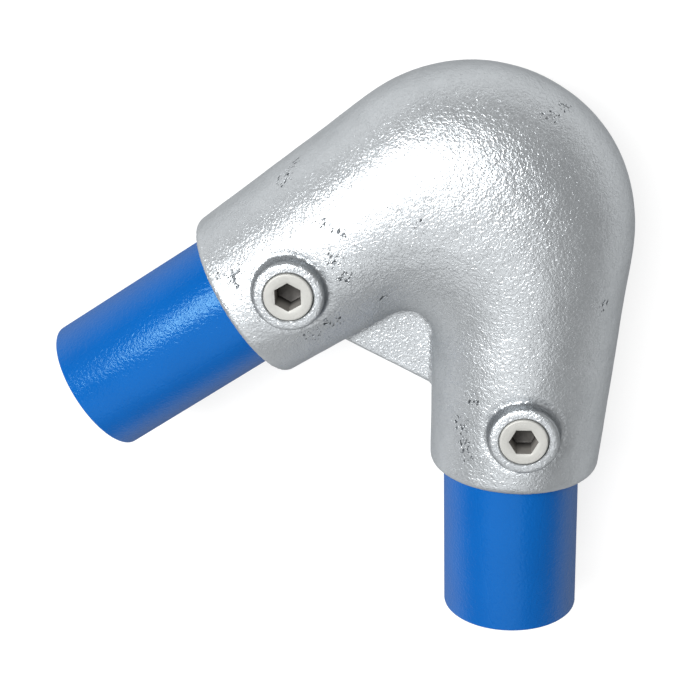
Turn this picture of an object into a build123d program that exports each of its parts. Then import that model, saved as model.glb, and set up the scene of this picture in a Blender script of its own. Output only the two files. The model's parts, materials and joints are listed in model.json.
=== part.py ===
from build123d import *
from math import cos, radians, sin, sqrt, tan
import os

# Tube elbow connector: a hollow cast elbow that clamps two steel tubes at an acute angle.
# Millimetres. The design frame has the crossing of the two tube axes at its origin, the tubes in
# the XY plane on either side of -Y, and the screws on the +Z side. LEFT is -X and RIGHT is +X.
LEFT, RIGHT = -1, 1

# Tubes
tube_od = 48.3
tube_wall = 3.2
tube_length_left = 130.0
tube_length_right = 130.0
tube_insert_left = 65.0
tube_insert_right = 73.0
tube_angle = {LEFT: 28.5, RIGHT: 28.5}
tube_end_round = 0.6

# Elbow casting, outside
crotch_x = 2.7
crotch_y = -83.3
crotch_radius = 9.2
dome_radius = 56.2
turn_half_depth = 34.0
arm_angle = {LEFT: 27.7, RIGHT: 24.6}
arm_length_left = 39.8
arm_length_right = 46.9
arm_taper = {LEFT: 3.05, RIGHT: 2.8}
mouth_radius_left = 30.7
mouth_radius_right = 30.0
mouth_face_angle = {LEFT: 30.1, RIGHT: 26.4}
mouth_round_left = 1.5
mouth_round_right = 2.5

# Elbow casting, inside
socket_clearance = 0.35
core_wall = 5.0
socket_end_gap = 1.5
swing_range = 7.0
swing_pivot_from_mouth = 3.0
swing_clearance = 0.4
bore_mouth_chamfer = 0.8

# Web in the crotch
web_thickness = 6.0
web_reach = 12.7
web_edge_round = 1.2

# Bosses and set screws
screw_from_mouth = 23.2
screw_offset_left = -0.8
screw_offset_right = 4.1
screw_diameter = 16.66
screw_hole_clearance = 0.3
boss_diameter = 23.0
boss_rise = 3.26
boss_top_round = 1.6
boss_foot_round = 2.2
hole_chamfer = 0.5
screw_recess = 0.3
screw_tip_gap = 0.1
screw_edge_round = 0.7
screw_point_chamfer = 1.6
hex_across_flats = 8.7
hex_floor = 1.6
hex_turn = {LEFT: -1.0, RIGHT: 29.0}
dish_diameter = 11.6
dish_depth = 0.45

# Steps between sections along an arm and round the turn
arm_steps = 4
turn_steps = 8

tube_length = {LEFT: tube_length_left, RIGHT: tube_length_right}
tube_insert = {LEFT: tube_insert_left, RIGHT: tube_insert_right}
arm_length = {LEFT: arm_length_left, RIGHT: arm_length_right}
mouth_radius = {LEFT: mouth_radius_left, RIGHT: mouth_radius_right}
mouth_round = {LEFT: mouth_round_left, RIGHT: mouth_round_right}
screw_offset = {LEFT: screw_offset_left, RIGHT: screw_offset_right}
tube_r = tube_od / 2
socket_r = tube_r + socket_clearance
hole_r = screw_diameter / 2 + screw_hole_clearance
boss_r = boss_diameter / 2
C = Vector(crotch_x, crotch_y)


def along(side, angle):
    """Unit vector out along an arm that leans by angle from -Y."""
    return Vector(side * sin(radians(angle)), -cos(radians(angle)))


def outward(side, angle):
    """Unit vector square to an arm, away from the crotch."""
    return Vector(side * cos(radians(angle)), sin(radians(angle)))


def arm_radius(side, s):
    """Outer radius of an arm at the distance s from its root."""
    return mouth_radius[side] + (arm_length[side] - s) * tan(radians(arm_taper[side]))


# Both bosses end in one plane, a set rise above the crown of the thicker arm.
crown = {side: arm_radius(side, arm_length[side] - screw_from_mouth) for side in (LEFT, RIGHT)}
boss_height = max(crown.values()) + boss_rise
screw_top = boss_height - screw_recess
screw_tip = tube_r + screw_tip_gap
screw_length = screw_top - screw_tip


def arm_centre(side, s):
    root = crotch_radius + arm_radius(side, 0)
    return C + outward(side, arm_angle[side]) * root + along(side, arm_angle[side]) * s


def mouth_from_elbow(side):
    """Distance of the mouth from the crossing of the axes, along the tube."""
    return arm_centre(side, arm_length[side]).dot(along(side, tube_angle[side]))


def on_tube_axis(side, distance, offset=0.0, z=0.0):
    point = along(side, tube_angle[side]) * distance + outward(side, tube_angle[side]) * offset
    return Vector(point.X, point.Y, z)


# The outer wall is a straight line along each arm and the dome arc that is tangent to both.
wall_angle = {side: arm_angle[side] - arm_taper[side] for side in (LEFT, RIGHT)}
wall_normal = {side: outward(side, wall_angle[side]) for side in (LEFT, RIGHT)}
wall_reach = {
    side: (crotch_radius + 2 * arm_radius(side, 0)) * cos(radians(arm_taper[side])) for side in (LEFT, RIGHT)
}


def dome_offset():
    """Centre of the dome arc, from the crotch centre."""
    a, b = wall_normal[LEFT], wall_normal[RIGHT]
    ra, rb = wall_reach[LEFT] - dome_radius, wall_reach[RIGHT] - dome_radius
    det = a.X * b.Y - a.Y * b.X
    return Vector((ra * b.Y - rb * a.Y) / det, (a.X * rb - b.X * ra) / det)


def outer_reach(theta):
    """Distance from the crotch centre to the outer wall, at theta degrees from +Y."""
    e = Vector(sin(radians(theta)), cos(radians(theta)))
    v = dome_offset()
    side = RIGHT if theta > 0 else LEFT
    tangent = v + wall_normal[side] * dome_radius
    if abs(e.X * tangent.Y) > abs(e.Y * tangent.X) and e.Y > 0:
        return wall_reach[side] / e.dot(wall_normal[side])
    return e.dot(v) + sqrt(dome_radius**2 - v.dot(v) + e.dot(v) ** 2)


def quartered(oval):
    """The same oval as a face of four arcs, so that all sections start in line."""
    edge = oval.edges()[0]
    return make_face(Wire([edge.trim(i / 4, (i + 1) / 4) for i in range(4)]))


def turn_section(w, inset=0.0):
    """Oval section through the turn, w from 0 at the left arm's root to 1 at the right arm's."""
    theta0, theta1 = arm_angle[LEFT] - 90, 90 - arm_angle[RIGHT]
    theta = theta0 + (theta1 - theta0) * w
    half_width = (outer_reach(theta) - crotch_radius) / 2
    roots = arm_radius(LEFT, 0), arm_radius(RIGHT, 0)
    half_depth = roots[0] * (1 - w) + roots[1] * w
    half_depth += (turn_half_depth - sum(roots) / 2) * sin(radians(180 * w)) ** 2
    e = Vector(sin(radians(theta)), cos(radians(theta)))
    origin = C + e * (crotch_radius + half_width)
    plane = Plane(origin, x_dir=e, z_dir=Vector(e.Y, -e.X))
    return quartered(plane * Ellipse(half_width - inset, min(half_depth, half_width) - inset))


def arm_section(side, step):
    """Round section through an arm; the last one lies in the plane of the mouth."""
    angle = mouth_face_angle[side] if step == arm_steps else arm_angle[side]
    s = arm_length[side] * step / arm_steps
    plane = Plane(arm_centre(side, s), x_dir=outward(side, angle), z_dir=along(side, angle) * side)
    return quartered(plane * Circle(arm_radius(side, s)))


def turn_loft_sections(inset=0.0):
    return [turn_section(i / turn_steps, inset) for i in range(turn_steps + 1)]


def outer_body():
    steps = range(1, arm_steps + 1)
    left = [arm_section(LEFT, i) for i in reversed(steps)]
    right = [arm_section(RIGHT, i) for i in steps]
    body = loft(left + turn_loft_sections() + right)
    for side in (LEFT, RIGHT):
        mouth = arm_centre(side, arm_length[side])
        normal = along(side, mouth_face_angle[side])
        rims = [e for e in body.edges() if all(abs((e @ t - mouth).dot(normal)) < 0.01 for t in (0, 0.5, 1))]
        body = fillet(rims, mouth_round[side])
    return body


def web():
    """Flat plate that ties the two arms together inside the crotch."""
    edge_y = C.Y - web_reach
    half = mouth_radius[LEFT] + mouth_radius[RIGHT]
    plate = Pos(C.X, edge_y, 0) * Box(
        2 * half, 2 * half, web_thickness, align=(Align.CENTER, Align.MIN, Align.CENTER)
    )
    plate = fillet(plate.faces().sort_by(Axis.Y)[0].edges().filter_by(Axis.X), web_edge_round)
    return plate


def web_room():
    """The wedge between the two arms' centre lines, which the web may fill."""
    ends = [arm_centre(side, arm_length[side]) for side in (LEFT, RIGHT)]
    roots = [arm_centre(side, 0) for side in (RIGHT, LEFT)]
    outline = make_face(Polyline(*[(p.X, p.Y) for p in ends + roots], close=True))
    return extrude(outline, web_thickness, both=True)


def screw_place(side):
    return on_tube_axis(side, mouth_from_elbow(side) - screw_from_mouth, screw_offset[side])


def boss(side):
    top = Pos(screw_place(side)) * Cylinder(
        boss_r, boss_height, align=(Align.CENTER, Align.CENTER, Align.MIN)
    )
    return fillet(top.faces().sort_by(Axis.Z)[-1].edges(), boss_top_round)


def boss_foot_edges(body, side):
    """Edges where a boss meets the arm."""
    centre = screw_place(side)
    found = []
    for edge in body.edges():
        points = [edge.position_at(t) for t in (0.1, 0.4, 0.7, 0.95)]
        on_wall = all(abs(Vector(p.X - centre.X, p.Y - centre.Y).length - boss_r) < 0.01 for p in points)
        if on_wall and all(mouth_radius[side] / 2 < p.Z < boss_height - boss_top_round - 0.2 for p in points):
            found.append(edge)
    return found


def screw_hole(side):
    hole = Pos(screw_place(side)) * Cylinder(
        hole_r, boss_height + 1, align=(Align.CENTER, Align.CENTER, Align.MIN)
    )
    lead = Pos(screw_place(side)) * Pos(0, 0, boss_height - hole_chamfer) * Cone(
        hole_r, hole_r + 2 * hole_chamfer, 2 * hole_chamfer, align=(Align.CENTER, Align.CENTER, Align.MIN)
    )
    return hole + lead


def tube_frame(side, distance, turn=0.0):
    """Plane at a distance along a tube's axis, its Z out of the elbow, turned about the pivot."""
    origin = on_tube_axis(side, distance)
    return Plane(origin, x_dir=Vector(0, 0, 1), z_dir=along(side, tube_angle[side] - turn))


def inner_end(side):
    return mouth_from_elbow(side) - tube_insert[side]


def bore(side, reach_in, reach_out, turn=0.0, pivot=None, r=socket_r):
    """Round bore about the tube's axis, reaching in and out from the pivot."""
    at = mouth_from_elbow(side) if pivot is None else pivot
    frame = tube_frame(side, at, turn)
    return frame * Pos(0, 0, -reach_in) * Cylinder(
        r, reach_in + reach_out, align=(Align.CENTER, Align.CENTER, Align.MIN)
    )


def left_socket():
    """Straight bore for the tube that only slides."""
    depth = tube_insert[LEFT] + socket_end_gap
    return bore(LEFT, depth, mouth_radius[LEFT])


def swing_pivot():
    return mouth_from_elbow(RIGHT) - swing_pivot_from_mouth


def right_socket():
    """Bore that widens inwards, so that the tube can swing about the mouth."""
    depth = tube_insert[RIGHT] - swing_pivot_from_mouth + socket_end_gap
    out = mouth_radius[RIGHT]
    at = swing_pivot()
    turn = swing_range + swing_clearance
    room = bore(RIGHT, depth, out, 0.0, at) + bore(RIGHT, depth, out, turn, at)
    pivot = on_tube_axis(RIGHT, at)
    for reach in (-depth, out):
        tips = [pivot + along(RIGHT, tube_angle[RIGHT] - t) * reach for t in (0.0, turn)]
        corner = make_face(Polyline((pivot.X, pivot.Y), *[(p.X, p.Y) for p in tips], close=True))
        room += extrude(corner, socket_r, both=True)
    return room


def core():
    """Cored space in the turn, which the two sockets open into."""
    return loft(turn_loft_sections(core_wall))


def mouth_chamfer(side):
    """Small bevel that leads the tube into its socket."""
    frame = Plane(
        arm_centre(side, arm_length[side]), x_dir=Vector(0, 0, 1), z_dir=along(side, mouth_face_angle[side])
    )
    size = bore_mouth_chamfer
    return frame * Pos(0, 0, -size) * Cone(
        socket_r, socket_r + 2 * size, 2 * size, align=(Align.CENTER, Align.CENTER, Align.MIN)
    )


def elbow_casting():
    body = outer_body() + (web() & web_room())
    body += boss(LEFT) + boss(RIGHT)
    for side in (LEFT, RIGHT):
        body = fillet(boss_foot_edges(body, side), boss_foot_round)
    body -= core()
    body -= left_socket()
    body -= right_socket()
    for side in (LEFT, RIGHT):
        body -= mouth_chamfer(side)
        body -= screw_hole(side)
    return body


def set_screw(side):
    """Threaded plug with a hexagon socket, its flat point on the tube's crown."""
    blank = Cylinder(screw_diameter / 2, screw_length, align=(Align.CENTER, Align.CENTER, Align.MIN))
    blank = fillet(blank.faces().sort_by(Axis.Z)[-1].edges(), screw_edge_round)
    blank = chamfer(blank.faces().sort_by(Axis.Z)[0].edges(), screw_point_chamfer)
    hexagon = Rot(0, 0, hex_turn[side]) * RegularPolygon(hex_across_flats / 2, 6, major_radius=False)
    blank -= Pos(0, 0, hex_floor) * extrude(hexagon, screw_length)
    dish_r = dish_diameter / 2
    blank -= Pos(0, 0, screw_length - dish_depth) * Cone(
        dish_r - 2 * dish_depth, dish_r, dish_depth, align=(Align.CENTER, Align.CENTER, Align.MIN)
    )
    return Pos(screw_place(side)) * Pos(0, 0, screw_tip) * blank


def tube(side):
    r = tube_r
    pipe = Cylinder(r, tube_length[side], align=(Align.CENTER, Align.CENTER, Align.MIN))
    pipe = fillet(pipe.edges().filter_by(GeomType.CIRCLE), tube_end_round)
    pipe -= Cylinder(r - tube_wall, tube_length[side], align=(Align.CENTER, Align.CENTER, Align.MIN))
    return tube_frame(side, inner_end(side)) * pipe


parts = {
    "elbow_casting": elbow_casting(),
    "set_screw_left": set_screw(LEFT),
    "set_screw_right": set_screw(RIGHT),
    "tube_left": tube(LEFT),
    "tube_right": tube(RIGHT),
}

# The finished part rests on Z = 0, with its origin under the middle of its box.
boxes = [shape.bounding_box() for shape in parts.values()]
low = [min(tuple(box.min)[i] for box in boxes) for i in range(3)]
high = [max(tuple(box.max)[i] for box in boxes) for i in range(3)]
to_rest = Vector(-(low[0] + high[0]) / 2, -(low[1] + high[1]) / 2, -low[2])
placed = {name: Pos(to_rest) * shape.solid() for name, shape in parts.items()}

if __name__ == "__main__":
    os.makedirs("parts", exist_ok=True)
    for name, shape in placed.items():
        shape.label = name
        export_step(shape, f"parts/{name}.step")
        box = shape.bounding_box()
        print(name, "volume", round(shape.volume, 1), "size", [round(v, 2) for v in box.size])
    print("origin in the design frame", [round(-v, 3) for v in to_rest])
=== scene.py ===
# %% [markdown]
# # A cast elbow that clamps two tubes
#
# The real object is a hollow iron casting, hot-dip galvanised, that holds two round steel tubes at an
# acute angle. A set screw in a boss on each arm clamps its tube. Here the measured solids are loaded
# first as a fixed frame, and each piece is then made again with the surface that the real one shows.
# Lengths below are written in millimetres and turned to metres with MM.

# %% Load the measured solids
import json
import math
import random

import bmesh
import bpy
import numpy as np
from mathutils import Matrix, Vector


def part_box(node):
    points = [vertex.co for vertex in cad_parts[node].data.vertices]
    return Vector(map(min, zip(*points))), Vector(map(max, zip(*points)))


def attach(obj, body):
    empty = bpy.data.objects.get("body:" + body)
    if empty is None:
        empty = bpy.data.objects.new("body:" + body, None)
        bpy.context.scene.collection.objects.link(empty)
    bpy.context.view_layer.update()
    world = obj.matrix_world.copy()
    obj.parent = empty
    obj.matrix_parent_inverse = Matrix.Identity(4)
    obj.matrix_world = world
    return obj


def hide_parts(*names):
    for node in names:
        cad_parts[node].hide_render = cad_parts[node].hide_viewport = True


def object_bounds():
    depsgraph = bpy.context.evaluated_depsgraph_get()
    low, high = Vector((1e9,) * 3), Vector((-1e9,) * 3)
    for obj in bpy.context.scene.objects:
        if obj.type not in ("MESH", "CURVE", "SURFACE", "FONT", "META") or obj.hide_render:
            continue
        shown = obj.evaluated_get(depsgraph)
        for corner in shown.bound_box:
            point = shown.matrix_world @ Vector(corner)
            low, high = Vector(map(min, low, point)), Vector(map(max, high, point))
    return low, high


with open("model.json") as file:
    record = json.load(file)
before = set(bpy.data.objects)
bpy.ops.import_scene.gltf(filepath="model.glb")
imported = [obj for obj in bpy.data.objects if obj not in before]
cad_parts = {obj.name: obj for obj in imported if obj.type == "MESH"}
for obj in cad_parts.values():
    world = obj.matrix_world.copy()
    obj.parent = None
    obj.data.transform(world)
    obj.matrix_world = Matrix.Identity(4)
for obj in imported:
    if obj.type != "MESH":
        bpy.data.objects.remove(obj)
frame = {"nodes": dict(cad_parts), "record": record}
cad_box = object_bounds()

MM = 0.001
mounts = {mount["name"]: mount for mount in frame["record"]["mounts"]}
screw_places = {side: Vector(mounts["hex_key_" + side]["pos_m"]) for side in ("left", "right")}
boss_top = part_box("elbow_casting")[1].z
boss_foot = boss_top - 9 * MM  # above this height lies the front, with the bosses and their feet
box_middle = (cad_box[0] + cad_box[1]) / 2
print("solids:", sorted(frame["nodes"]))
print("box in mm:", [[round(v / MM, 2) for v in corner] for corner in cad_box])

# %% [markdown]
# ## Camera
#
# A photograph fixes where its camera stood once two known shapes are found in it. Here the outlines of
# the two tubes, 48.3 mm across, gave the place, the turn and the lens. The other way is to turn a camera
# by hand until the outlines agree, but a computed one keeps every later comparison honest.

# %% Place the camera
camera_place = Vector((-82.85, 216.06, 626.85)) * MM
camera_right = Vector((0.8868, 0.4549, -0.0809))
camera_up = Vector((-0.4496, 0.8093, -0.3779))
camera_back = Vector((-0.1065, 0.3715, 0.9223))
camera = bpy.data.objects.new("camera", bpy.data.cameras.new("camera"))
camera.data.lens = 94.758
camera.data.sensor_width = 36.0
camera.matrix_world = Matrix.Translation(camera_place) @ Matrix(
    (camera_right, camera_up, camera_back)
).transposed().to_4x4()
bpy.context.collection.objects.link(camera)
bpy.context.scene.camera = camera
print("camera stands", round((camera_place - box_middle).length / MM), "mm from the middle")

# %% [markdown]
# ## Two helpers for node trees
#
# Every material and every Geometry Nodes tree below is built from the same small step: add a node, set
# it up, and wire its inputs. Colours are picked as sRGB hex values, as a paint chart gives them, while
# the renderer adds light in linear values, so one function turns the first into the second.

# %% Add one node, and turn a hex colour to linear
def add(tree, kind, inputs=None, **settings):
    """Add a node. inputs maps a socket's name or number to a value, or to the socket that feeds it."""
    node = tree.nodes.new(kind)
    for name, value in settings.items():
        setattr(node, name, value)
    for key, value in (inputs or {}).items():
        if isinstance(value, bpy.types.NodeSocket):
            tree.links.new(value, node.inputs[key])
        else:
            node.inputs[key].default_value = value
    return node


def linear(hex_colour):
    """Linear RGBA of an sRGB hex colour."""
    parts = [int(hex_colour[i:i + 2], 16) / 255 for i in (0, 2, 4)]
    return (*(c / 12.92 if c <= 0.04045 else ((c + 0.055) / 1.055) ** 2.4 for c in parts), 1.0)


def new_material(name):
    """An empty material, and its node tree."""
    material = bpy.data.materials.new(name)
    material.use_nodes = True
    material.node_tree.nodes.clear()
    return material, material.node_tree


print("mid grey is", round(linear("808080")[0], 4), "in linear light")

# %% [markdown]
# ## Hot-dip galvanised iron
#
# The casting is dipped in molten zinc, which freezes as a thin bright skin over the sand-cast surface.
# The eye sees a soft silver sheen, fine wrinkles about 1 mm long where the zinc ran as it froze, wider
# dents from the sand mould, and dark specks where pits in the iron stayed open. A metal with medium
# roughness gives the sheen, three bump layers give the dents, the wrinkles and the hollows of the specks,
# and a painted attribute called pitting says where the specks lie. A picture texture could do the same,
# but would need a UV map and would blur in close views.

# %% Material of the casting
zinc_skin, tree = new_material("hot_dip_galvanised_iron")
place = add(tree, "ShaderNodeTexCoord").outputs["Object"]

# Tone: large soft patches, 25 mm, and crystal grains of the zinc, 7 mm.
patches = add(tree, "ShaderNodeTexNoise", {"Vector": place, "Scale": 1 / (25 * MM), "Detail": 3.0})
grains = add(tree, "ShaderNodeTexVoronoi", {"Vector": place, "Scale": 1 / (7 * MM)})
grain_tone = add(tree, "ShaderNodeSeparateColor", {"Color": grains.outputs["Color"]})
tone = add(tree, "ShaderNodeMix", {2: patches.outputs["Fac"], 3: grain_tone.outputs["Red"], "Factor": 0.25})
zinc_tone = add(tree, "ShaderNodeMix", {
    "Factor": tone.outputs[0], 6: linear("B6BABD"), 7: linear("C8CCCF")}, data_type="RGBA")

# Pits: specks about 0.5 mm wide and 1 mm long, kept to where the attribute allows them.
speck_frame = add(tree, "ShaderNodeMapping", {
    "Vector": place, "Rotation": (0.0, 0.0, math.radians(20)), "Scale": (1.0, 0.5, 1.0)})
speck_noise = add(tree, "ShaderNodeTexNoise", {
    "Vector": speck_frame.outputs["Vector"], "Scale": 1 / (0.9 * MM), "Detail": 1.0})
pitting = add(tree, "ShaderNodeAttribute", attribute_name="pitting")
speck_level = add(tree, "ShaderNodeMapRange", {
    "Value": pitting.outputs["Fac"], "To Min": 0.95, "To Max": 0.54})
above = add(tree, "ShaderNodeMath", {
    0: speck_noise.outputs["Fac"], 1: speck_level.outputs["Result"]}, operation="SUBTRACT")
specks = add(tree, "ShaderNodeMapRange", {"Value": above.outputs[0], "From Min": 0.0, "From Max": 0.14})

# Painted shade in the crease at the foot of each boss: a darker ring around the screw's axis, on the front
# only, with the radii at which it starts, is darkest, starts to fade and ends.
crease_shade_start, crease_shade_darkest, crease_shade_fade, crease_shade_end = 10.8 * MM, 12.6 * MM, 12.7 * MM, 13.3 * MM
specks_and_crease_shade = specks.outputs["Result"]
front = add(tree, "ShaderNodeSeparateXYZ", {"Vector": place})
crease_shade_strength = add(tree, "ShaderNodeMapRange", {
    "Value": front.outputs["Z"], "From Min": boss_foot, "From Max": boss_top - 8 * MM, "To Max": 0.62})
for screw_place in screw_places.values():
    offset = add(tree, "ShaderNodeVectorMath", {0: place, 1: tuple(screw_place)}, operation="SUBTRACT")
    flat = add(tree, "ShaderNodeVectorMath", {
        0: offset.outputs[0], 1: (1.0, 1.0, 0.0)}, operation="MULTIPLY")
    radius = add(tree, "ShaderNodeVectorMath", {0: flat.outputs[0]}, operation="LENGTH")
    rising = add(tree, "ShaderNodeMapRange", {
        "Value": radius.outputs["Value"], "From Min": crease_shade_start, "From Max": crease_shade_darkest, "To Max": 1.0},
        interpolation_type="SMOOTHSTEP")
    falling = add(tree, "ShaderNodeMapRange", {
        "Value": radius.outputs["Value"], "From Min": crease_shade_end, "From Max": crease_shade_fade})
    ring = add(tree, "ShaderNodeMath", {
        0: rising.outputs["Result"], 1: falling.outputs["Result"]}, operation="MULTIPLY")
    ring = add(tree, "ShaderNodeMath", {
        0: ring.outputs[0], 1: crease_shade_strength.outputs["Result"]}, operation="MULTIPLY")
    specks_and_crease_shade = add(tree, "ShaderNodeMath", {0: specks_and_crease_shade, 1: ring.outputs[0]}, operation="MAXIMUM").outputs[0]
# The specks take the pits' own dark colour; the ring at each boss's foot is painted shade in the same colour.
zinc_colour = add(tree, "ShaderNodeMix", {
    "Factor": specks_and_crease_shade, 6: zinc_tone.outputs[2], 7: linear("565A5E")}, data_type="RGBA")

# Relief: dents of 7 mm, wrinkles of 1 mm and the specks' hollows.
dents = add(tree, "ShaderNodeTexNoise", {"Vector": place, "Scale": 1 / (7 * MM), "Detail": 1.0})
dent_bump = add(tree, "ShaderNodeBump", {
    "Height": dents.outputs["Fac"], "Strength": 1.0, "Distance": 0.35 * MM})
wrinkles = add(tree, "ShaderNodeTexNoise", {
    "Vector": place, "Scale": 1 / (1.0 * MM), "Detail": 2.0, "Roughness": 0.5, "Distortion": 0.8})
wrinkle_bump = add(tree, "ShaderNodeBump", {
    "Height": wrinkles.outputs["Fac"], "Strength": 1.0, "Distance": 0.29 * MM,
    "Normal": dent_bump.outputs["Normal"]})
hollow_bump = add(tree, "ShaderNodeBump", {
    "Height": specks.outputs["Result"], "Strength": 1.0, "Distance": 0.25 * MM,
    "Normal": wrinkle_bump.outputs["Normal"]}, invert=True)

# Sheen: uneven over 4 mm, and duller where the surface turns away from the eye.
sheen_noise = add(tree, "ShaderNodeTexNoise", {"Vector": place, "Scale": 1 / (4 * MM), "Detail": 2.0})
sheen = add(tree, "ShaderNodeMapRange", {
    "Value": sheen_noise.outputs["Fac"], "To Min": 0.28, "To Max": 0.37})
edge = add(tree, "ShaderNodeLayerWeight", {"Blend": 0.5})
edge_dulling = add(tree, "ShaderNodeMath", {
    0: edge.outputs["Facing"], 1: 0.24, 2: sheen.outputs["Result"]}, operation="MULTIPLY_ADD")
shader = add(tree, "ShaderNodeBsdfPrincipled", {
    "Base Color": zinc_colour.outputs[2], "Metallic": 0.85, "Roughness": edge_dulling.outputs[0],
    "Specular IOR Level": 0.15, "Specular Tint": linear("404040"),
    "Normal": hollow_bump.outputs["Normal"]})
add(tree, "ShaderNodeOutputMaterial", {"Surface": shader.outputs["BSDF"]})
print(zinc_skin.name, "has", len(tree.nodes), "nodes")

# %% [markdown]
# ## Blue powder coat, bare bore and sawn end
#
# The tubes are powder coated: coloured resin powder is melted on the steel, which leaves a smooth, hard
# and slightly uneven gloss known as orange peel, with waves of about 1 mm. The coat doesn't reach the
# inside, which keeps the grey zinc of the tube mill, and the sawn ends are bare steel with fine saw marks.

# %% Material of the coated outside
blue_coat, tree = new_material("blue_powder_coat")
place = add(tree, "ShaderNodeTexCoord").outputs["Object"]
cloud = add(tree, "ShaderNodeTexNoise", {"Vector": place, "Scale": 1 / (18 * MM), "Detail": 2.0})
coat_colour = add(tree, "ShaderNodeMix", {
    "Factor": cloud.outputs["Fac"], 6: linear("004E97"), 7: linear("0054A0")}, data_type="RGBA")
peel = add(tree, "ShaderNodeTexNoise", {
    "Vector": place, "Scale": 1 / (1.1 * MM), "Detail": 2.0, "Distortion": 0.6})
peel_bump = add(tree, "ShaderNodeBump", {
    "Height": peel.outputs["Fac"], "Strength": 1.0, "Distance": 0.16 * MM})
coat_gloss = add(tree, "ShaderNodeMapRange", {
    "Value": cloud.outputs["Fac"], "To Min": 0.12, "To Max": 0.16})
edge = add(tree, "ShaderNodeLayerWeight", {"Blend": 0.5})
edge_dulling = add(tree, "ShaderNodeMath", {
    0: edge.outputs["Facing"], 1: 0.55, 2: coat_gloss.outputs["Result"]}, operation="MULTIPLY_ADD")
shader = add(tree, "ShaderNodeBsdfPrincipled", {
    "Base Color": coat_colour.outputs[2], "Roughness": edge_dulling.outputs[0], "IOR": 1.5,
    "Specular IOR Level": 0.34, "Specular Tint": linear("B3F3FF"),
    "Normal": peel_bump.outputs["Normal"]})
add(tree, "ShaderNodeOutputMaterial", {"Surface": shader.outputs["BSDF"]})
print(blue_coat.name, "has", len(tree.nodes), "nodes")

# %% Material of the bare bore
bore_zinc, tree = new_material("mill_galvanised_steel")
place = add(tree, "ShaderNodeTexCoord").outputs["Object"]
film = add(tree, "ShaderNodeTexNoise", {"Vector": place, "Scale": 1 / (9 * MM), "Detail": 4.0})
film_colour = add(tree, "ShaderNodeMix", {
    "Factor": film.outputs["Fac"], 6: linear("84898D"), 7: linear("B4B8BB")}, data_type="RGBA")
film_bump = add(tree, "ShaderNodeBump", {
    "Height": film.outputs["Fac"], "Strength": 0.8, "Distance": 0.12 * MM})
film_gloss = add(tree, "ShaderNodeMapRange", {"Value": film.outputs["Fac"], "To Min": 0.42, "To Max": 0.62})
shader = add(tree, "ShaderNodeBsdfPrincipled", {
    "Base Color": film_colour.outputs[2], "Metallic": 0.9, "Roughness": film_gloss.outputs["Result"],
    "Normal": film_bump.outputs["Normal"]})
add(tree, "ShaderNodeOutputMaterial", {"Surface": shader.outputs["BSDF"]})
print(bore_zinc.name, "has", len(tree.nodes), "nodes")

# %% Material of the sawn ends
sawn_steel, tree = new_material("sawn_steel")
place = add(tree, "ShaderNodeTexCoord").outputs["Object"]
saw_frame = add(tree, "ShaderNodeMapping", {"Vector": place, "Scale": (1.0, 0.06, 1.0)})
saw_lines = add(tree, "ShaderNodeTexNoise", {
    "Vector": saw_frame.outputs["Vector"], "Scale": 1 / (0.6 * MM), "Detail": 3.0})
saw_colour = add(tree, "ShaderNodeMix", {
    "Factor": saw_lines.outputs["Fac"], 6: linear("8E9092"), 7: linear("C2C4C6")}, data_type="RGBA")
saw_bump = add(tree, "ShaderNodeBump", {
    "Height": saw_lines.outputs["Fac"], "Strength": 0.7, "Distance": 0.05 * MM})
shader = add(tree, "ShaderNodeBsdfPrincipled", {
    "Base Color": saw_colour.outputs[2], "Metallic": 1.0, "Roughness": 0.38,
    "Normal": saw_bump.outputs["Normal"]})
add(tree, "ShaderNodeOutputMaterial", {"Surface": shader.outputs["BSDF"]})
print(sawn_steel.name, "has", len(tree.nodes), "nodes")

# %% [markdown]
# ## Zinc flake coat of the screws
#
# The set screws carry a thin baked coat of zinc flakes, so they look pale, warm grey and almost matt
# beside the bright casting. A partly metallic surface with high roughness and a fine grain of 0.5 mm
# gives that chalky face without hiding the sharp edges of the hexagon. Inside the hexagon the coat is
# thin and the steel is darker; over that, a painted shade that goes from near black at the floor to grey
# at the mouth makes the socket read as deep.

# %% Material of the screws
flake_coat, tree = new_material("zinc_flake_coated_steel")
place = add(tree, "ShaderNodeTexCoord").outputs["Object"]
chalk = add(tree, "ShaderNodeTexNoise", {"Vector": place, "Scale": 1 / (2.5 * MM), "Detail": 4.0})
chalk_colour = add(tree, "ShaderNodeMix", {
    "Factor": chalk.outputs["Fac"], 6: linear("A6A6A2"), 7: linear("B6B6B2")}, data_type="RGBA")
grit = add(tree, "ShaderNodeTexNoise", {"Vector": place, "Scale": 1 / (0.5 * MM), "Detail": 1.0})
grit_bump = add(tree, "ShaderNodeBump", {
    "Height": grit.outputs["Fac"], "Strength": 0.5, "Distance": 0.03 * MM})
chalk_gloss = add(tree, "ShaderNodeMapRange", {
    "Value": chalk.outputs["Fac"], "To Min": 0.5, "To Max": 0.62})
shader = add(tree, "ShaderNodeBsdfPrincipled", {
    "Base Color": chalk_colour.outputs[2], "Metallic": 0.35, "Roughness": chalk_gloss.outputs["Result"],
    "Normal": grit_bump.outputs["Normal"]})
add(tree, "ShaderNodeOutputMaterial", {"Surface": shader.outputs["BSDF"]})
print(flake_coat.name, "has", len(tree.nodes), "nodes")

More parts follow.
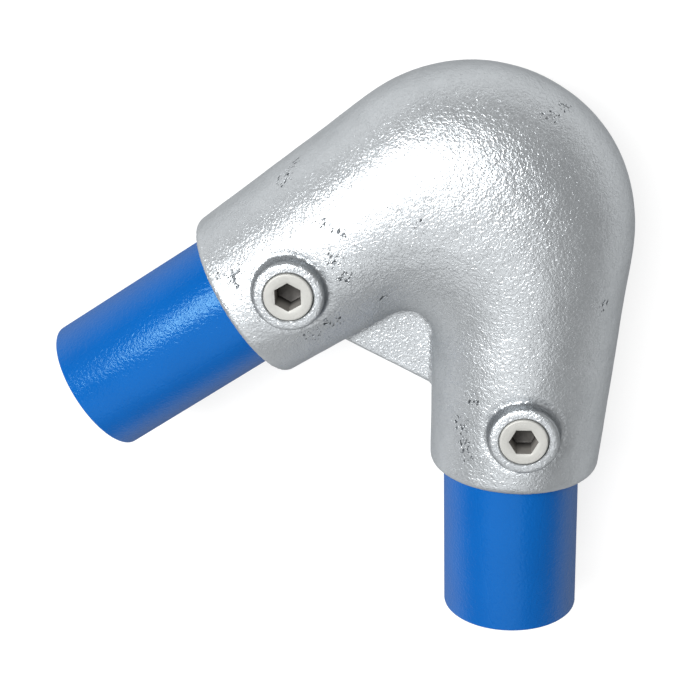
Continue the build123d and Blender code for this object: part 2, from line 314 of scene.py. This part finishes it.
# %% Material inside the hexagon sockets
socket_steel, tree = new_material("socket_steel_with_painted_shade")
place = add(tree, "ShaderNodeTexCoord").outputs["Object"]
residue = add(tree, "ShaderNodeTexNoise", {"Vector": place, "Scale": 1 / (3.0 * MM), "Detail": 3.0})
height = add(tree, "ShaderNodeSeparateXYZ", {"Vector": place})
# Painted shade: the socket's tone is darkest at its floor and lightens towards its mouth.
shade_darkest_height, shade_end_height = 60.5 * MM, 65 * MM
painted_depth_shade = add(tree, "ShaderNodeMapRange", {
    "Value": height.outputs["Z"], "From Min": shade_darkest_height, "From Max": shade_end_height})
residue_and_depth_shade = add(tree, "ShaderNodeMath", {
    0: residue.outputs["Fac"], 1: 0.15, 2: painted_depth_shade.outputs["Result"]}, operation="MULTIPLY_ADD")
residue_and_shade_colour = add(tree, "ShaderNodeMix", {
    "Factor": residue_and_depth_shade.outputs[0], 6: linear("32302E"), 7: linear("A09D98")}, data_type="RGBA")
residue_bump = add(tree, "ShaderNodeBump", {
    "Height": residue.outputs["Fac"], "Strength": 0.5, "Distance": 0.05 * MM})
shader = add(tree, "ShaderNodeBsdfPrincipled", {
    "Base Color": residue_and_shade_colour.outputs[2], "Metallic": 0.4, "Roughness": 0.5,
    "Normal": residue_bump.outputs["Normal"]})
add(tree, "ShaderNodeOutputMaterial", {"Surface": shader.outputs["BSDF"]})
print(socket_steel.name, "has", len(tree.nodes), "nodes")

# %% [markdown]
# ## From modifiers to plain mesh
#
# Modifiers and Geometry Nodes are recipes. The finished piece should be plain mesh, with its place in
# its points, so that it exports as it looks. The next two helpers run a recipe and keep the result.

# %% Helpers that run a recipe
def new_piece(name, mesh=None):
    piece = bpy.data.objects.new(name, mesh or bpy.data.meshes.new(name))
    bpy.context.collection.objects.link(piece)
    return piece


def keep_result(piece):
    """Turn what a piece's modifiers make into its own mesh, and take them off."""
    graph = bpy.context.evaluated_depsgraph_get()
    mesh = bpy.data.meshes.new_from_object(piece.evaluated_get(graph))
    piece.modifiers.clear()
    piece.data = mesh
    mesh.name = piece.name


def run_tree(piece, tree, values):
    """Run a Geometry Nodes tree on a piece, with its inputs set by their identifiers."""
    modifier = piece.modifiers.new(tree.name, "NODES")
    modifier.node_group = tree
    sockets = {item.name: item.identifier for item in tree.interface.items_tree
               if item.item_type == "SOCKET" and item.in_out == "INPUT"}
    for name, value in values.items():
        modifier[sockets[name]] = value
    keep_result(piece)


def new_tree(name, inputs):
    """A Geometry Nodes tree with named inputs, and the outputs of its input node."""
    tree = bpy.data.node_groups.new(name, "GeometryNodeTree")
    for label, kind in inputs.items():
        tree.interface.new_socket(label, in_out="INPUT", socket_type=kind)
    tree.interface.new_socket("Geometry", in_out="OUTPUT", socket_type="NodeSocketGeometry")
    return tree, add(tree, "NodeGroupInput").outputs


def triangles(piece):
    piece.data.calc_loop_triangles()
    return len(piece.data.loop_triangles)


print("helpers ready")

# %% [markdown]
# ## The cast body
#
# The casting is one piece: two sockets that run into a rounded elbow, a flat web in the crotch and a
# boss on each arm. Its shape is the measured solid's, but a sand casting has no crisp edge and no true
# surface. It could be sculpted by hand; here the solid is covered with an even net of small squares
# (Remesh), the net is drawn back onto the solid (Shrinkwrap), and then made slightly uneven. The tapped
# holes and the mouths are machined on the real piece, so they are cut afterwards, sharp.

# %% Join the measured casting with plugs in its holes
AXES_HEIGHT = 34.004  # of the plane in which the axes of both tubes lie
plug_radius = 9.6 * MM
plug_bottom = AXES_HEIGHT * MM + 24.6 * MM  # just above the crown of the bore
casting_solid = bmesh.new()
casting_solid.from_mesh(frame["nodes"]["elbow_casting"].data)
bmesh.ops.remove_doubles(casting_solid, verts=casting_solid.verts, dist=0.001 * MM)
for place in screw_places.values():
    middle = (plug_bottom + boss_top) / 2
    bmesh.ops.create_cone(
        casting_solid, cap_ends=True, segments=96, radius1=plug_radius, radius2=plug_radius,
        depth=boss_top - plug_bottom, matrix=Matrix.Translation((place.x, place.y, middle)))
solid = new_piece("casting_solid")
casting_solid.to_mesh(solid.data)
casting_solid.free()
print("solid has", len(solid.data.vertices), "points")

# %% Cover it with an even net, drawn back onto the solid
casting = new_piece("elbow_casting_skin", solid.data.copy())
net = casting.modifiers.new("net", "REMESH")
net.mode = "VOXEL"
net.voxel_size = 1.15 * MM
net.use_smooth_shade = True
ease = casting.modifiers.new("ease", "SMOOTH")
ease.factor = 0.5
ease.iterations = 3
fit = casting.modifiers.new("fit", "SHRINKWRAP")
fit.wrap_method = "NEAREST_SURFACEPOINT"
fit.target = solid
settle = casting.modifiers.new("settle", "SMOOTH")
settle.factor = 0.5
settle.iterations = 1
keep_result(casting)
print("net has", len(casting.data.vertices), "points")

# %% Widen the rim of each boss and draw in its foot
def all_points(piece):
    """The points of a piece's mesh, one row each."""
    points = np.empty(len(piece.data.vertices) * 3)
    piece.data.vertices.foreach_get("co", points)
    return points.reshape(-1, 3)


def ring_wave(radius, height, peak, spread):
    """A smooth wave around an axis, from its height, the radius of its peak and its spread, all in mm."""
    return height * MM * np.exp(-((radius - peak * MM) / (spread * MM)) ** 2)


net_points = all_points(casting)
for place in screw_places.values():
    from_axis = net_points[:, :2] - np.array(place[:2])
    radius = np.linalg.norm(from_axis, axis=1)
    on_boss = net_points[:, 2] > boss_foot
    widen = ring_wave(radius, 0.9, 11.0, 1.2) * on_boss
    sink = ring_wave(radius, 0.6, 13.4, 0.9) * on_boss
    net_points[:, :2] += from_axis * (widen / np.maximum(radius, MM))[:, None]
    net_points[:, 2] -= sink
casting.data.vertices.foreach_set("co", net_points.ravel())
print("rims widened by", round(widen.max() / MM, 2), "mm, feet sunk by", round(sink.max() / MM, 2), "mm")

# %% Geometry Nodes tree for the cast unevenness
cast_tree, given = new_tree("cast_unevenness", {
    "Geometry": "NodeSocketGeometry", "Depth": "NodeSocketFloat", "Width": "NodeSocketFloat",
    "Seed": "NodeSocketFloat", "Material": "NodeSocketMaterial"})
waves_per_metre = add(cast_tree, "ShaderNodeMath", {0: 1.0, 1: given["Width"]}, operation="DIVIDE")
sand = add(cast_tree, "ShaderNodeTexNoise", {
    "W": given["Seed"], "Scale": waves_per_metre.outputs[0], "Detail": 2.0}, noise_dimensions="4D")
inwards = add(cast_tree, "ShaderNodeMath", {0: given["Depth"], 1: -1.0}, operation="MULTIPLY")
shift = add(cast_tree, "ShaderNodeMath", {0: sand.outputs[0], 1: inwards.outputs[0]}, operation="MULTIPLY")
push = add(cast_tree, "ShaderNodeVectorMath", {
    0: add(cast_tree, "GeometryNodeInputNormal").outputs[0], "Scale": shift.outputs[0]}, operation="SCALE")
moved = add(cast_tree, "GeometryNodeSetPosition", {
    "Geometry": given["Geometry"], "Offset": push.outputs[0]})
real = add(cast_tree, "GeometryNodeRealizeInstances", {"Geometry": moved.outputs[0]})
dressed = add(cast_tree, "GeometryNodeSetMaterial", {
    "Geometry": real.outputs[0], "Material": given["Material"]})
add(cast_tree, "NodeGroupOutput", {0: dressed.outputs[0]})
run_tree(casting, cast_tree, {"Depth": 0.3 * MM, "Width": 12 * MM, "Seed": 4.0, "Material": zinc_skin})
print("cast surface now up to 0.3 mm uneven")

# %% Cut the tapped holes and the mouths
def turned(cutters, rings, matrix, segments=128):
    """Add a closed turned shape to a mesh: rings are (radius, height) from its bottom to its top."""
    angles = [2 * math.pi * i / segments for i in range(segments)]
    loops = []
    for radius, height in rings:
        loops.append([cutters.verts.new(matrix @ Vector((radius * math.cos(a), radius * math.sin(a), height)))
                      for a in angles])
    for low, high in zip(loops, loops[1:]):
        for i in range(segments):
            cutters.faces.new((low[i - 1], low[i], high[i], high[i - 1]))
    cutters.faces.new(loops[0][::-1])
    cutters.faces.new(loops[-1])


# The middle of each mouth and the way that it faces.
mouths = {
    "left": (Vector((-53.914, -23.065, AXES_HEIGHT)) * MM, Vector((-0.50151, -0.86515, 0.0))),
    "right": (Vector((59.043, -32.73, AXES_HEIGHT)) * MM, Vector((0.44464, -0.89571, 0.0))),
}
# A tapped hole is straight, with a lead-in of 45 degrees at its rim; a mouth has a wider one.
hole_radius, hole_flare = 8.63 * MM, 9.63 * MM
cutters = bmesh.new()
for side, place in screw_places.items():
    hole = [(hole_radius, plug_bottom - 6 * MM), (hole_radius, boss_top - 0.5 * MM),
            (hole_flare, boss_top + 0.5 * MM)]
    turned(cutters, hole, Matrix.Translation((place.x, place.y, 0)))
    centre, facing = mouths[side]
    lead = [(24.25 * MM, -1.2 * MM), (25.45 * MM, 0.0), (27.45 * MM, 2.0 * MM)]
    turned(cutters, lead, Matrix.Translation(centre) @ facing.to_track_quat("Z", "Y").to_matrix().to_4x4())
cutter = new_piece("casting_cutters")
cutters.to_mesh(cutter.data)
cutters.free()
cut = casting.modifiers.new("machined", "BOOLEAN")
cut.operation = "DIFFERENCE"
cut.solver = "EXACT"
cut.object = cutter
keep_result(casting)
bpy.data.objects.remove(cutter)
bpy.data.objects.remove(solid)
print("casting has", triangles(casting), "triangles")

# %% [markdown]
# ## Pits in the casting
#
# Small groups of pits show where gas or sand sat against the mould. Each group lies at its own place,
# so a random pattern alone would not match. The groups' places were read from the photograph and are
# found on the surface by looking along the camera's line of sight; the far side gets groups at random.

# %% Mark where the pits lie
# Each group: pixels across and down in the photograph, and its reach in millimetres.
PHOTO_SIDE = 690
pit_groups = [
    (285, 178, 2.2), (295, 163, 1.5), (235, 278, 1.8), (218, 275, 1.6), (212, 290, 1.4), (332, 260, 2.0),
    (345, 278, 1.6), (338, 232, 1.5), (324, 225, 1.4), (312, 335, 2.2), (332, 322, 2.2), (472, 398, 1.6),
    (461, 425, 2.0), (464, 441, 1.8), (465, 455, 1.8), (551, 115, 2.0), (566, 107, 1.6), (605, 305, 1.3),
    (384, 298, 1.2), (420, 226, 1.2)]
half_side = PHOTO_SIDE / 2
pixels_per_unit = camera.data.lens / camera.data.sensor_width * PHOTO_SIDE
turn = camera.matrix_world.to_3x3()
centres, reaches = [], []
for across, down, reach in pit_groups:
    sight = Vector(((across - half_side) / pixels_per_unit, (half_side - down) / pixels_per_unit, -1))
    ray = turn @ sight.normalized()
    hit, place, _, _ = casting.ray_cast(camera_place, ray)
    if hit:
        centres.append(place)
        reaches.append(reach)
FAR_GROUPS = 14
chance = random.Random(11)
far_side = [v.co for v in casting.data.vertices if v.normal.z < -0.2]
for _ in range(FAR_GROUPS):
    centres.append(chance.choice(far_side))
    reaches.append(chance.uniform(1.2, 2.2))
# A group's mark is full out to 0.6 of its width, reach times WIDTH_PER_REACH, and gone at 1.6 of it.
WIDTH_PER_REACH = 2.2
points = all_points(casting)
strength = np.zeros(len(points))
for centre, reach in zip(centres, reaches):
    gap = np.linalg.norm(points - np.array(centre), axis=1) / (reach * WIDTH_PER_REACH * MM)
    strength = np.maximum(strength, np.clip(1.6 - gap, 0, 1))
mark = casting.data.attributes.new("pitting", "FLOAT", "POINT")
mark.data.foreach_set("value", strength.astype(np.float32))
casting.data.shade_smooth()
casting.data.set_sharp_from_angle(angle=math.radians(38))
print(len(centres), "groups of pits,", int((strength > 0.5).sum()), "points marked")

# %% Stand the casting in for its solid
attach(casting, "elbow")
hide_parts("elbow_casting")
print("casting is", [round(v / MM, 2) for v in casting.dimensions], "mm")

# %% [markdown]
# ## The tubes
#
# A tube is a ring-shaped wall swept along a straight line. It follows a rule, so Geometry Nodes make it:
# a rectangle as thick as the wall and as long as the tube, its corners rounded, goes round a circle. The
# same tree makes both tubes from named sizes. A turned mesh or a cylinder with a hole would look alike,
# but its sizes would then be buried in the mesh.

# %% Geometry Nodes tree for a tube
tube_tree, given = new_tree("round_tube", {
    "Length": "NodeSocketFloat", "Outside Diameter": "NodeSocketFloat", "Wall": "NodeSocketFloat",
    "End Round": "NodeSocketFloat", "Sides": "NodeSocketInt", "Start": "NodeSocketVector",
    "Turn": "NodeSocketRotation", "Material": "NodeSocketMaterial"})
half_wall = add(tube_tree, "ShaderNodeMath", {0: given["Wall"], 1: 0.5}, operation="MULTIPLY")
outer_radius = add(tube_tree, "ShaderNodeMath", {
    0: given["Outside Diameter"], 1: 0.5}, operation="MULTIPLY")
mean_radius = add(tube_tree, "ShaderNodeMath", {
    0: outer_radius.outputs[0], 1: half_wall.outputs[0]}, operation="SUBTRACT")
ring = add(tube_tree, "GeometryNodeCurvePrimitiveCircle", {
    "Resolution": given["Sides"], "Radius": mean_radius.outputs[0]})
section = add(tube_tree, "GeometryNodeCurvePrimitiveQuadrilateral", {
    "Width": given["Wall"], "Height": given["Length"]})
rounded = add(tube_tree, "GeometryNodeFilletCurve", {
    "Curve": section.outputs[0], "Count": 3, "Radius": given["End Round"]}, mode="POLY")
swept = add(tube_tree, "GeometryNodeCurveToMesh", {
    "Curve": ring.outputs[0], "Profile Curve": rounded.outputs[0]})
half_length = add(tube_tree, "ShaderNodeMath", {0: given["Length"], 1: 0.5}, operation="MULTIPLY")
lift = add(tube_tree, "ShaderNodeCombineXYZ", {"Z": half_length.outputs[0]})
raised = add(tube_tree, "GeometryNodeTransform", {
    "Geometry": swept.outputs[0], "Translation": lift.outputs[0]})
placed = add(tube_tree, "GeometryNodeTransform", {
    "Geometry": raised.outputs[0], "Translation": given["Start"], "Rotation": given["Turn"]})
real = add(tube_tree, "GeometryNodeRealizeInstances", {"Geometry": placed.outputs[0]})
dressed = add(tube_tree, "GeometryNodeSetMaterial", {
    "Geometry": real.outputs[0], "Material": given["Material"]})
add(tube_tree, "NodeGroupOutput", {0: dressed.outputs[0]})
print("tree", tube_tree.name, "has", len(tube_tree.nodes), "nodes")

# %% Make the two tubes
TUBE_DIAMETER, TUBE_WALL, TUBE_END_ROUND = 48.3, 3.2, 0.6
START_TO_MOUNT = 110  # from a tube's inner end to the mount in its bore
for side in ("left", "right"):
    bore = mounts["tube_" + side + "_bore"]
    axis = Vector(bore["axis"])
    start = Vector(bore["pos_m"]) - axis * START_TO_MOUNT * MM
    tube = new_piece("tube_" + side + "_coated")
    run_tree(tube, tube_tree, {
        "Length": bore["dims"]["length_mm"] * MM, "Outside Diameter": TUBE_DIAMETER * MM,
        "Wall": TUBE_WALL * MM, "End Round": TUBE_END_ROUND * MM, "Sides": 192, "Start": start,
        "Turn": axis.to_track_quat("Z", "Y").to_euler(), "Material": blue_coat})
    shell = bmesh.new()
    shell.from_mesh(tube.data)
    bmesh.ops.recalc_face_normals(shell, faces=shell.faces)
    for face in shell.faces:
        middle = face.calc_center_median() - start
        radial = middle - axis * middle.dot(axis)
        if abs(face.normal.dot(axis)) > 0.8:
            face.material_index = 2
        elif face.normal.dot(radial) < 0:
            face.material_index = 1
    shell.to_mesh(tube.data)
    shell.free()
    tube.data.materials.append(bore_zinc)
    tube.data.materials.append(sawn_steel)
    tube.data.shade_smooth()
    tube.data.set_sharp_from_angle(angle=math.radians(40))
    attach(tube, side + "_tube")
    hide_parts("tube_" + side)
    print(tube.name, [round(v / MM, 2) for v in tube.dimensions], "mm,", triangles(tube), "triangles")

# %% [markdown]
# ## The set screws
#
# Each screw is a short plug with a pipe thread, a flat point and a hexagon socket for a key. Turning
# makes the round part and a punch makes the hexagon, so the mesh follows the same order: rings of 96
# points run from the point up the side, over the rounded edge, across the flat face and down into the
# socket, where the ring turns from a circle to a hexagon. Boolean cuts would leave long thin faces.

# %% Rings of the screw
TIP, TOP = 58.254, 68.900  # heights of the point and of the face
CORE = 7.48  # radius under the thread
EDGE_MIDDLE, EDGE_ROUND = 7.63, 0.7  # the rounded edge: radius to its middle, and its rounding
HEX_ACROSS = 8.7
RING_POINTS = 96
hexagon_turn = {"left": -1.0, "right": 29.0}  # degrees


def screw_rings():
    """(radius, height, 1 for a hexagon or 0 for a circle) from the point to the socket's floor."""
    rings = [(6.73, TIP, 0), (CORE, TIP + 0.75, 0), (CORE, TOP - 1.75, 0), (8.33, TOP - 1.25, 0)]
    rings += [(EDGE_MIDDLE + EDGE_ROUND * math.cos(math.radians(a)),
               TOP - EDGE_ROUND + EDGE_ROUND * math.sin(math.radians(a)), 0) for a in range(0, 91, 15)]
    rings += [(5.6, TOP, 0), (5.35, TOP - 0.04, 0)]
    corner = HEX_ACROSS / 2 / math.cos(math.radians(30))
    rings += [(corner + 0.04, TOP - 0.22, 1), (corner, TOP - 0.40, 1)]
    rings += [(corner, TIP + 1.2, 1), (3.9, TIP + 1.0, 0)]
    return rings


def ring_point(radius, height, hexagon, angle):
    """A point of a ring; on a hexagon the angle 0 is a corner."""
    if hexagon:
        off = (angle + math.radians(30)) % math.radians(60) - math.radians(30)
        radius *= math.cos(math.radians(30)) / math.cos(math.radians(30) - abs(off))
    return Vector((radius * math.cos(angle), radius * math.sin(angle), height))


print("screw rings:", len(screw_rings()))

# %% [markdown]
# The thread is a ridge that climbs 1.337 mm in each turn, as a 3/8 inch pipe thread does. Geometry Nodes
# sweep a small trapezium along a spiral, so pitch, height and number of turns stay named inputs. The ridge
# stops short of the rounded edge, as a cut thread runs out there.

# %% Geometry Nodes tree for the thread
thread_tree, given = new_tree("thread_ridge", {
    "Pitch": "NodeSocketFloat", "Turns": "NodeSocketFloat", "Root Radius": "NodeSocketFloat",
    "Ridge Height": "NodeSocketFloat", "Ridge Foot": "NodeSocketFloat", "Ridge Crest": "NodeSocketFloat",
    "Start": "NodeSocketVector", "Material": "NodeSocketMaterial"})
climb = add(thread_tree, "ShaderNodeMath", {0: given["Pitch"], 1: given["Turns"]}, operation="MULTIPLY")
half_ridge = add(thread_tree, "ShaderNodeMath", {0: given["Ridge Height"], 1: 0.5}, operation="MULTIPLY")
path_radius = add(thread_tree, "ShaderNodeMath", {
    0: given["Root Radius"], 1: half_ridge.outputs[0]}, operation="ADD")
path = add(thread_tree, "GeometryNodeCurveSpiral", {
    "Resolution": 60, "Rotations": given["Turns"], "Start Radius": path_radius.outputs[0],
    "End Radius": path_radius.outputs[0], "Height": climb.outputs[0]})
upright = add(thread_tree, "GeometryNodeSetCurveNormal", {"Curve": path.outputs[0]}, mode="Z_UP")
ridge = add(thread_tree, "GeometryNodeCurvePrimitiveQuadrilateral", {
    "Bottom Width": given["Ridge Foot"], "Top Width": given["Ridge Crest"], "Height": given["Ridge Height"],
    "Offset": 0.0}, mode="TRAPEZOID")
ridge_turn = add(thread_tree, "GeometryNodeTransform", {
    "Geometry": ridge.outputs[0], "Rotation": (0.0, 0.0, math.radians(90))})
swept = add(thread_tree, "GeometryNodeCurveToMesh", {
    "Curve": upright.outputs[0], "Profile Curve": ridge_turn.outputs[0], "Fill Caps": True})
placed = add(thread_tree, "GeometryNodeTransform", {
    "Geometry": swept.outputs[0], "Translation": given["Start"]})
real = add(thread_tree, "GeometryNodeRealizeInstances", {"Geometry": placed.outputs[0]})
dressed = add(thread_tree, "GeometryNodeSetMaterial", {
    "Geometry": real.outputs[0], "Material": given["Material"]})
add(thread_tree, "NodeGroupOutput", {0: dressed.outputs[0]})
print("tree", thread_tree.name, "has", len(thread_tree.nodes), "nodes")

# %% Make the two screws
for side, place in screw_places.items():
    screw = new_piece("set_screw_" + side + "_detailed")
    run_tree(screw, thread_tree, {
        "Pitch": 1.337 * MM, "Turns": 5.0, "Root Radius": 7.40 * MM, "Ridge Height": 0.93 * MM,
        "Ridge Foot": 1.30 * MM, "Ridge Crest": 0.22 * MM,
        "Start": Vector((place.x, place.y, (TIP + 1.5) * MM)), "Material": flake_coat})
    reach = max(math.hypot(v.co.x - place.x, v.co.y - place.y) for v in screw.data.vertices)
    plug = bmesh.new()
    plug.from_mesh(screw.data)
    turn_to = math.radians(hexagon_turn[side])
    # A screw that is tight rests against one side of its thread, 0.2 mm off the middle of the hole.
    rests_at = Vector((place.x, place.y, 0)) + Vector((-0.07, -0.19, 0)) * MM
    loops = []
    for radius, height, hexagon in screw_rings():
        loops.append([])
        for i in range(RING_POINTS):
            point = ring_point(radius, height, hexagon, 2 * math.pi * i / RING_POINTS)
            point = Matrix.Rotation(turn_to, 3, "Z") @ point
            loops[-1].append(plug.verts.new(point * MM + rests_at))
    socket_from = len(loops) - 3
    for step, (low, high) in enumerate(zip(loops, loops[1:])):
        for i in range(RING_POINTS):
            face = plug.faces.new((low[i - 1], low[i], high[i], high[i - 1]))
            face.material_index = int(step >= socket_from)
    tip = plug.verts.new(Vector((place.x, place.y, TIP * MM)))
    floor_point = plug.verts.new(Vector((place.x, place.y, (TIP + 0.8) * MM)))
    for i in range(RING_POINTS):
        plug.faces.new((tip, loops[0][i], loops[0][i - 1]))
        plug.faces.new((floor_point, loops[-1][i - 1], loops[-1][i])).material_index = 1
    bmesh.ops.recalc_face_normals(plug, faces=plug.faces)
    plug.to_mesh(screw.data)
    plug.free()
    screw.data.materials.append(socket_steel)
    screw.data.shade_smooth()
    screw.data.set_sharp_from_angle(angle=math.radians(32))
    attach(screw, side + "_screw")
    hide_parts("set_screw_" + side)
    print(screw.name, [round(v / MM, 2) for v in screw.dimensions], "mm, ridge reaches",
          round(reach / MM, 2), "mm,", triangles(screw), "triangles")

# %% [markdown]
# ## Floor and light
#
# The part lies on a white studio floor. Its paint is a pale grey, and a glow of its own, seen only by the
# camera and in reflections, lifts it to the white of the photograph without putting more light on the
# object, so that the shadow stays. One broad lamp to the left of the camera makes the wide highlight
# along the arms, and one dim lamp below the camera fills the side that the first leaves dark.

# %% White floor
floor_glow = 0.78
half_floor = 4
floor_paint, tree = new_material("white_studio_floor")
seen = add(tree, "ShaderNodeLightPath")
direct = add(tree, "ShaderNodeMath", {
    0: seen.outputs["Is Camera Ray"], 1: seen.outputs["Is Glossy Ray"]}, operation="MAXIMUM")
any_view = add(tree, "ShaderNodeMath", {
    0: direct.outputs[0], 1: seen.outputs["Is Transmission Ray"]}, operation="MAXIMUM")
glow_level = add(tree, "ShaderNodeMath", {0: any_view.outputs[0], 1: floor_glow}, operation="MULTIPLY")
paint = add(tree, "ShaderNodeBsdfDiffuse", {"Color": linear("8C8C8C")})
glow = add(tree, "ShaderNodeEmission", {"Strength": glow_level.outputs[0]})
both = add(tree, "ShaderNodeAddShader", {0: paint.outputs[0], 1: glow.outputs[0]})
add(tree, "ShaderNodeOutputMaterial", {"Surface": both.outputs[0]})
floor = new_piece("studio_floor")
corners = [(x * half_floor, y * half_floor, 0) for x, y in ((-1, -1), (1, -1), (1, 1), (-1, 1))]
floor.data.from_pydata(corners, [], [(0, 1, 2, 3)])
floor.data.materials.append(floor_paint)
print("floor is", 2 * half_floor, "m wide")

# %% Studio light
world = bpy.data.worlds.new("studio_surround")
bpy.context.scene.world = world
world.use_nodes = True
world.node_tree.nodes.clear()
tree = world.node_tree
surround = add(tree, "ShaderNodeBackground", {"Color": (1.0, 1.0, 1.0, 1.0), "Strength": 0.31})
add(tree, "ShaderNodeOutputWorld", {"Surface": surround.outputs[0]})


def lamp(name, right, up, back, distance, width, height, power, roll=0):
    """A rectangular lamp that shines at the object from a direction given in the camera's axes.

    distance, width and height are in metres, power in watts and roll in degrees.
    """
    away = (camera_right * right + camera_up * up + camera_back * back).normalized()
    across = camera_right * math.cos(math.radians(roll)) + camera_up * math.sin(math.radians(roll))
    across = (across - away * across.dot(away)).normalized()
    light = bpy.data.objects.new(name, bpy.data.lights.new(name, "AREA"))
    light.data.shape = "RECTANGLE"
    light.data.size = width
    light.data.size_y = height
    light.data.energy = power
    turn = Matrix((across, away.cross(across), away)).transposed().to_4x4()
    light.matrix_world = Matrix.Translation(box_middle + away * distance) @ turn
    bpy.context.collection.objects.link(light)
    print(name, "at", [round(v, 2) for v in light.matrix_world.translation], "m,", power, "W")


lamp("key_softbox", -0.45, -0.02, 0.89, 2.2, 1.85, 0.95, 73, roll=6)
lamp("fill_softbox", -0.22, -0.84, 0.62, 1.2, 1.3, 1.1, 4.0)
bpy.context.scene.view_settings.view_transform = "Standard"
